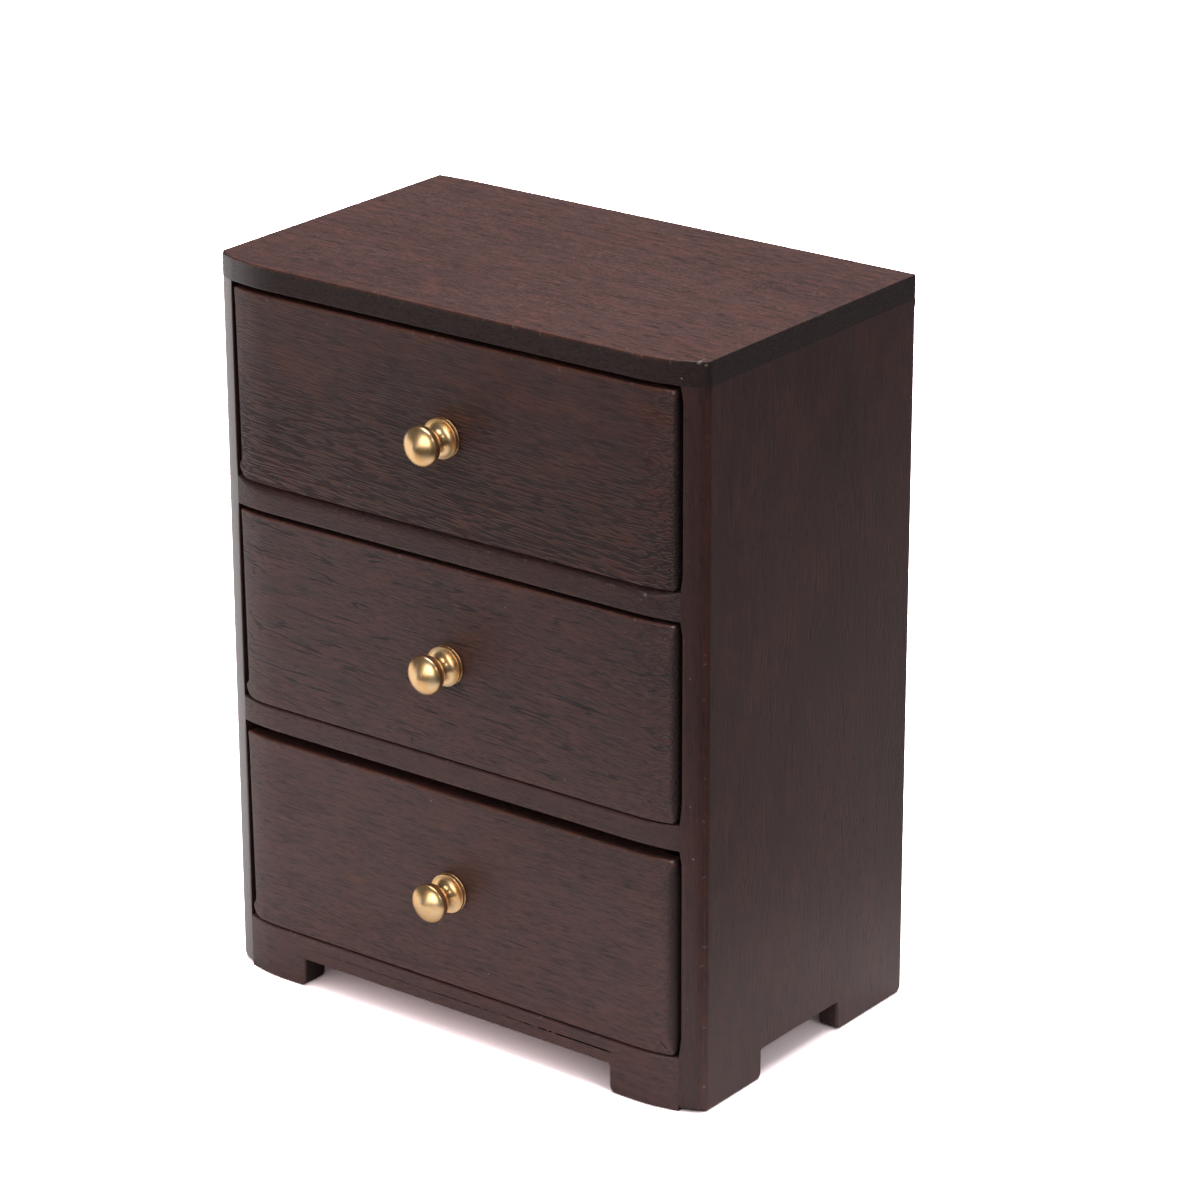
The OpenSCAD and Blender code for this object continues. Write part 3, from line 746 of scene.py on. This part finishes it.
for drawer in drawers:
    body = drawer + "_drawer"
    node = body + "_front"
    low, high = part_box(node)
    sideLow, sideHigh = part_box(body + "_right_side")
    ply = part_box(body + "_bottom")

    def frontArris(a, b, side):
        if side == 1:
            return drawerFront["backArris"]
        below, above = drawerFront["leftArris"]
        left = below + (above - below) * (b - low.z) / (high.z - low.z)
        atEnd = left if a < 0 else drawerFront["rightArris"][drawer]
        level = drawerFront["arris"]
        return level + (atEnd - level) * min(1, (b - low.z) / (5 * mm), (high.z - b) / (5 * mm))

    def frontRubbed(a, b, side):
        return 0.7 if side == 0 and b > high.z - 2 * mm else 0.1

    outline = oblong(low.x, low.z, high.x, high.z, drawerFront["leftCorner"], drawerFront["rightCorner"],
                     drawerFront["upperCorner"], drawerFront["upperCorner"])
    board = slab(outline, upright, low.y, high.y, frontArris, step=3 * mm, shape=bowed(high.y - low.y),
                 rubbed=frontRubbed)
    stained = stainedWood("stained" + node.title(), drawerWoods[drawer])
    piece = addPiece(drawer + "DrawerFront", board, stained, "stained_wood", body, node)
    xs = [sorted((s * sideLow.x, s * (sideHigh.x + mm))) for s in (-1, 1)]
    rebates = blockCutter(*[((x0, sideLow.y, low.z - mm), (x1, high.y + mm, high.z + mm)) for x0, x1 in xs])
    groove = blockCutter(((low.x - mm, ply[0].y, ply[0].z), (high.x + mm, high.y + mm, ply[1].z)))
    radius, recessY = drawerFront["recessRadius"], high.y - drawerFront["recessDepth"]
    recess = turned([(0, 0), (0, radius), (4 * mm, radius), (4 * mm, 0)],
                    [((0, recessY, middleZ(body + "_knob")), (0, 1, 0))])
    evenNormals(carve(piece, rebates, groove, recess))

    raw = rawWood(drawer + "Sides", boardOf("y", heart=(0.02, 0.3), seed=low.z * 71, **boxTones))
    rawBack = rawWood(drawer + "Back", boardOf("x", heart=(0.02, 0.3), seed=low.z * 83, **boxTones))
    plyWood = rawWood(drawer + "Bottom", boardOf("x", heart=(0.0, 0.12), ring=12 * mm, seed=low.z * 97,
                                                 **plyTones))
    step = drawerBox["step"]
    boxArris, plyArris = (lambda a, b, side, r=drawerBox[key]: r for key in ("arris", "plyArris"))
    for part in ("_left_side", "_right_side"):
        a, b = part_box(body + part)
        corners = [drawerBox[key] for key in ("frontCorner", "backCorner", "backCorner", "frontCorner")]
        board = slab(oblong(a.y, a.z, b.y, b.z, *corners), sideways, a.x, b.x, boxArris, step=step)
        evenNormals(addPiece(drawer + part.title().replace("_", ""), board, raw, "raw_wood", body,
                             body + part))
    a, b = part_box(body + "_back")
    board = slab(oblong(a.x, a.z, b.x, b.z), upright, a.y, b.y, boxArris, step=step)
    evenNormals(addPiece(drawer + "Back", board, rawBack, "raw_wood", body, body + "_back"))
    a, b = ply
    board = slab(oblong(a.x, a.y, b.x, b.y), flat, b.z, a.z, plyArris, step=step)
    evenNormals(addPiece(drawer + "Bottom", board, plyWood, "plywood", body, body + "_bottom"))
print("drawers made")

# the turned brass knobs, lengths in millimetres; lip is what the flange keeps outside the cove, and
# pointed and blunt shape the dome
knob = dict(colour=(0.98, 0.60, 0.26), pale=(1.0, 0.72, 0.43), rough=0.3, flange=5.3, foot=4.7, waist=2.4,
            rim=0.8, gap=0.4, easing=0.14, lip=0.3, back=4.4, ball=5.25, front=2.8, pointed=0.35, blunt=2.3)


def knobProfile(length):
    # along and radius, from the foot on the drawer front to the tip of the ball
    flange, waist, rim, gap, easing = (knob[key] for key in ("flange", "waist", "rim", "gap", "easing"))
    points = [(0.0, 0.0), (0.0, knob["foot"])]    # the first rim widens forward
    quarter = lambda steps: [j / steps * math.pi / 2 for j in range(steps + 1)]
    for start in (0.0, rim + gap):
        for t in quarter(4) if start else ():
            points.append((start + easing * (1 - math.cos(t)), flange - easing + easing * math.sin(t)))
        for t in quarter(4):
            points.append((start + rim - easing + easing * math.sin(t),
                           flange - easing + easing * math.cos(t)))
        if start == 0:
            points += [(rim, flange - gap), (rim + gap, flange - gap)]
    cove = flange - waist - knob["lip"]
    for t in quarter(16):
        points.append((2 * rim + gap + cove * (1 - math.cos(t)), waist + cove * (1 - math.sin(t))))
    ball, back, ring = knob["ball"], knob["back"], length - knob["front"]
    off = ball - back
    begin = math.acos(-math.sqrt(back ** 2 - (waist - off) ** 2) / back)
    for j in range(25):
        t = begin + (math.pi / 2 - begin) * j / 24
        points.append((ring + back * math.cos(t), off + back * math.sin(t)))
    for j in range(1, 28):    # a flat dome, a little pointed, with the turner's mark at its tip
        share = math.cos(math.pi / 2 * j / 29)
        swell = math.sqrt(1 - share ** knob["blunt"])
        rise = (1 - knob["pointed"]) * swell + knob["pointed"] * (1 - share)
        points.append((ring + knob["front"] * rise, ball * share))
    points += [(length - 0.1, 0.24), (length - 0.12, 0.1), (length - 0.12, 0.0)]
    return [(a * mm, r * mm) for a, r in points]


def brass(name, centre):
    tree = newTree(name)
    place = tree.coords("Object")
    spot = tree.split(place)
    x, z = spot[0], spot[2] - centre
    ring = (x * x + z * z).sqrt()
    marks = tree.noise(tree.vector(ring * 5200, spot[1] * 5200, 0), 3, 0.75)    # left by the lathe
    cloud = tree.noise(place, 3, 0.6, 260)
    colour = tree.mix(cloud.rise(0.35, 0.7), knob["colour"], knob["pale"])
    bump = tree.add("Bump", {}, {"Strength": 0.4, "Distance": 0.00002, "Height": marks})
    return tree.finish(tree.add("BsdfPrincipled", {}, {
        "Base Color": colour, "Metallic": 1, "Normal": bump,
        "Roughness": knob["rough"] + (cloud - 0.5) * 0.1}))


def steel(name, shade, rough):
    tree = newTree(name)
    cloud = tree.noise(tree.coords("Object"), 4, 0.65, 900)
    colour = tree.mix(cloud.rise(0.35, 0.7), shade, tuple(c * 0.55 for c in shade))
    bump = tree.add("Bump", {}, {"Strength": 0.3, "Distance": 0.00002, "Height": cloud})
    return tree.finish(tree.add("BsdfPrincipled", {}, {
        "Base Color": colour, "Metallic": 1, "Roughness": rough + (cloud - 0.5) * 0.25, "Normal": bump}))


# the screws that hold the knobs, in millimetres, with a slot of half width slotHalf
screw = dict(head=3.0, headLong=1.8, shank=1.5, slotHalf=0.45, slotDeep=0.7)
screwSteel = steel("screwSteel", (0.50, 0.49, 0.47), 0.32)
for drawer in drawers:
    body = drawer + "_drawer"
    low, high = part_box(body + "_knob")
    centre = middleZ(body + "_knob")
    shape = turned(knobProfile((high.y - low.y) / mm), [((0, high.y, centre), (0, -1, 0))], 96)
    addPiece(drawer + "Knob", shape, brass(drawer + "Brass", centre), "brass", body, body + "_knob")
    a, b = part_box(body + "_knob_screw")
    long, head, shank, headLong = (b.y - a.y) / mm, screw["head"], screw["shank"], screw["headLong"]
    profile = [(0, 0), (0, head - 0.4), (0.25, head - 0.1), (0.7, head), (headLong, head), (headLong, shank),
               (long, shank), (long, 0)]
    shape = turned([(p * mm, r * mm) for p, r in profile], [((0, b.y, centre), (0, -1, 0))])
    piece = addPiece(drawer + "Screw", shape, screwSteel, "steel", body, body + "_knob_screw")
    half = screw["slotHalf"] * mm
    slotY = b.y - screw["slotDeep"] * mm
    slot = blockCutter(((-4 * mm, slotY, centre - half), (4 * mm, b.y + mm, centre + half)))
    evenNormals(carve(piece, slot))
print("knobs made")

# nails and dowels as (along, radius), in millimetres, and how far the lowest nails are under the opening
fixings = dict(nail=[(0, 0), (0, 0.5), (0.06, 0.6), (11.9, 0.6), (12, 0.5), (12, 0)],
               nailHole=[(-1, 0), (-1, 0.75), (0.25, 0.62), (0.25, 0)],
               dowel=[(0, 0), (0, 1.2), (0.4, 1.5), (9.6, 1.5), (10, 1.2), (10, 0)], lowNails=3.5)
nailSteel = steel("nailSteel", (0.33, 0.31, 0.29), 0.42)


def fixing(kind, places, sides):
    return turned([(a * mm, r * mm) for a, r in fixings[kind]], places, sides)


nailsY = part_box("back_panel_pins")[1].y
heights = [middleZ("lower_divider"), middleZ("upper_divider"), openings[0][0] - fixings["lowNails"] * mm]
backNails = [((x, nailsY, z), (0, -1, 0)) for z in heights for x in (-innerX * 2 / 3, 0, innerX * 2 / 3)]
addPiece("backNails", fixing("nail", backNails, 24), nailSteel, "steel", "case", "back_panel_pins")
evenNormals(carve(backPiece, fixing("nailHole", backNails, 24)))
for drawer in drawers:
    body = drawer + "_drawer"
    low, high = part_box(body + "_right_side")
    backLow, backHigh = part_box(body + "_back")
    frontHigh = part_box(body + "_front")[1]
    atBack = (backLow.y + backHigh.y) / 2
    places = [((s * high.x, y, low.z + level * (high.z - low.z)), (-s, 0, 0)) for s in (-1, 1)
              for y in ((low.y + frontHigh.y) / 2, atBack) for level in (0.3, 0.8)]
    places += [((x, atBack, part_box(body + "_bottom")[0].z), (0, 0, 1)) for x in (-low.x / 2, low.x / 2)]
    addPiece(drawer + "Nails", fixing("nail", places, 24), nailSteel, "steel", body, body + "_pins")
low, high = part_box("top_dowels")
places = [((s * (caseX + innerX) / 2, y, low.z), (0, 0, 1)) for s in (-1, 1)
          for y in (low.y + 1.5 * mm, high.y - 1.5 * mm)]
dowelWood = rawWood("dowelWood", boardOf("z", heart=(0.2, 0.2), seed=41, **boxTones))
addPiece("dowels", fixing("dowel", places, 32), dowelWood, "raw_wood", "case", "top_dowels")
print("fixings made")

# the floor's colours and where they fade, the strengths of the room around, and the lamps
stage = dict(floor=(0.90, 0.87, 0.87), unlit=(0.05, 0.05, 0.05), seen=(6.0, 5.1, 5.2),
             seenRight=(2.35, 2.05, 2.1), seenFade=(0, 0.09), frontFade=(-0.095, 0.03),
             rightFade=(-0.15, 0.45), nearFade=(0.10, 0.32), besideFade=(0.06, 0.2),
             world=0.36, sky=0.1, front=0.15, glow=0.3, window=3, windowWay=(0.10, -0.96, 0.26),
             windowEdge=(0.90, 0.96), overhead=dict(towards=(0.0, 0.16, 0.98), strength=2.3, spread=46),
             rightLamp=dict(towards=(0.77, -0.21, 0.60), strength=0.2, spread=15))


def makeFloor():
    bm = bmesh.new()
    bmesh.ops.create_circle(bm, cap_ends=True, segments=96, radius=14)
    mesh = bpy.data.meshes.new("floor")
    bm.to_mesh(mesh)
    bm.free()
    floor = bpy.data.objects.new("floor", mesh)
    scene.collection.objects.link(floor)
    tree = newTree("floor")
    seen = tree.add("LightPath", {}, {}).out("Is Camera Ray")
    x, y, _ = tree.split(tree.add("NewGeometry", {}, {}).out("Position"))
    # what lights the chest and shows in its gloss: a painted pool of light on the table near it, at the left
    # and the back, with the rest painted dark as unlit
    near = (1 - (x * x + y * y).sqrt().rise(*stage["nearFade"])) * (1 - x.rise(*stage["besideFade"]))
    lit = near.larger(((y - x) * 0.7071).rise(*stage["frontFade"]) * (1 - x.rise(*stage["rightFade"])))
    paper, unlit, white, pale = (tree.add("BsdfDiffuse", {}, {"Color": stage[key]})
                                 for key in ("floor", "unlit", "seen", "seenRight"))
    # the camera sees the floor paler at the left than at the right, which paints its shadows lighter at the
    # left
    white = tree.blend(x.rise(*stage["seenFade"]), white, pale)
    mesh.materials.append(tree.finish(tree.blend(seen, tree.blend(lit, unlit, paper), white)))


def makeWorld():
    world = bpy.data.worlds.new("studio")
    scene.world = world
    tree = Tree(world)
    ray = tree.add("LightPath", {}, {})
    mirrored = ray.out("Is Glossy Ray").larger(ray.out("Is Transmission Ray"))
    way = tree.split(tree.coords("Generated"))
    strengths = [1] + [stage[key] for key in ("glow", "sky", "front", "window", "world")]
    white, glow, sky, bright, window, soft = (tree.add("Background", {}, {"Color": (1, 1, 1), "Strength": s})
                                              for s in strengths)
    ahead = (way[0] * 0.6 - way[1] * 0.8).rise(0.1, 0.6)
    shine = tree.blend(way[2].rise(-0.02, 0.07), glow, tree.blend(ahead, sky, bright))
    # the lit window before the chest, which the knobs show
    wx, wy, wz = stage["windowWay"]
    pane = (way[0] * wx + way[1] * wy + way[2] * wz).rise(*stage["windowEdge"])
    shade = tree.blend(mirrored, soft, tree.blend(pane, shine, window))
    tree.finish(tree.blend(ray.out("Is Camera Ray"), shade, white))


def addSun(name, towards, strength, spread):
    data = bpy.data.lights.new(name, "SUN")
    data.energy, data.angle = strength, math.radians(spread)
    lamp = bpy.data.objects.new(name, data)
    lamp.rotation_mode = "QUATERNION"
    lamp.rotation_quaternion = Vector(towards).to_track_quat("Z", "Y")
    scene.collection.objects.link(lamp)


makeFloor()
makeWorld()
addSun("overhead", **stage["overhead"])
addSun("rightLamp", **stage["rightLamp"])
print("stage set")
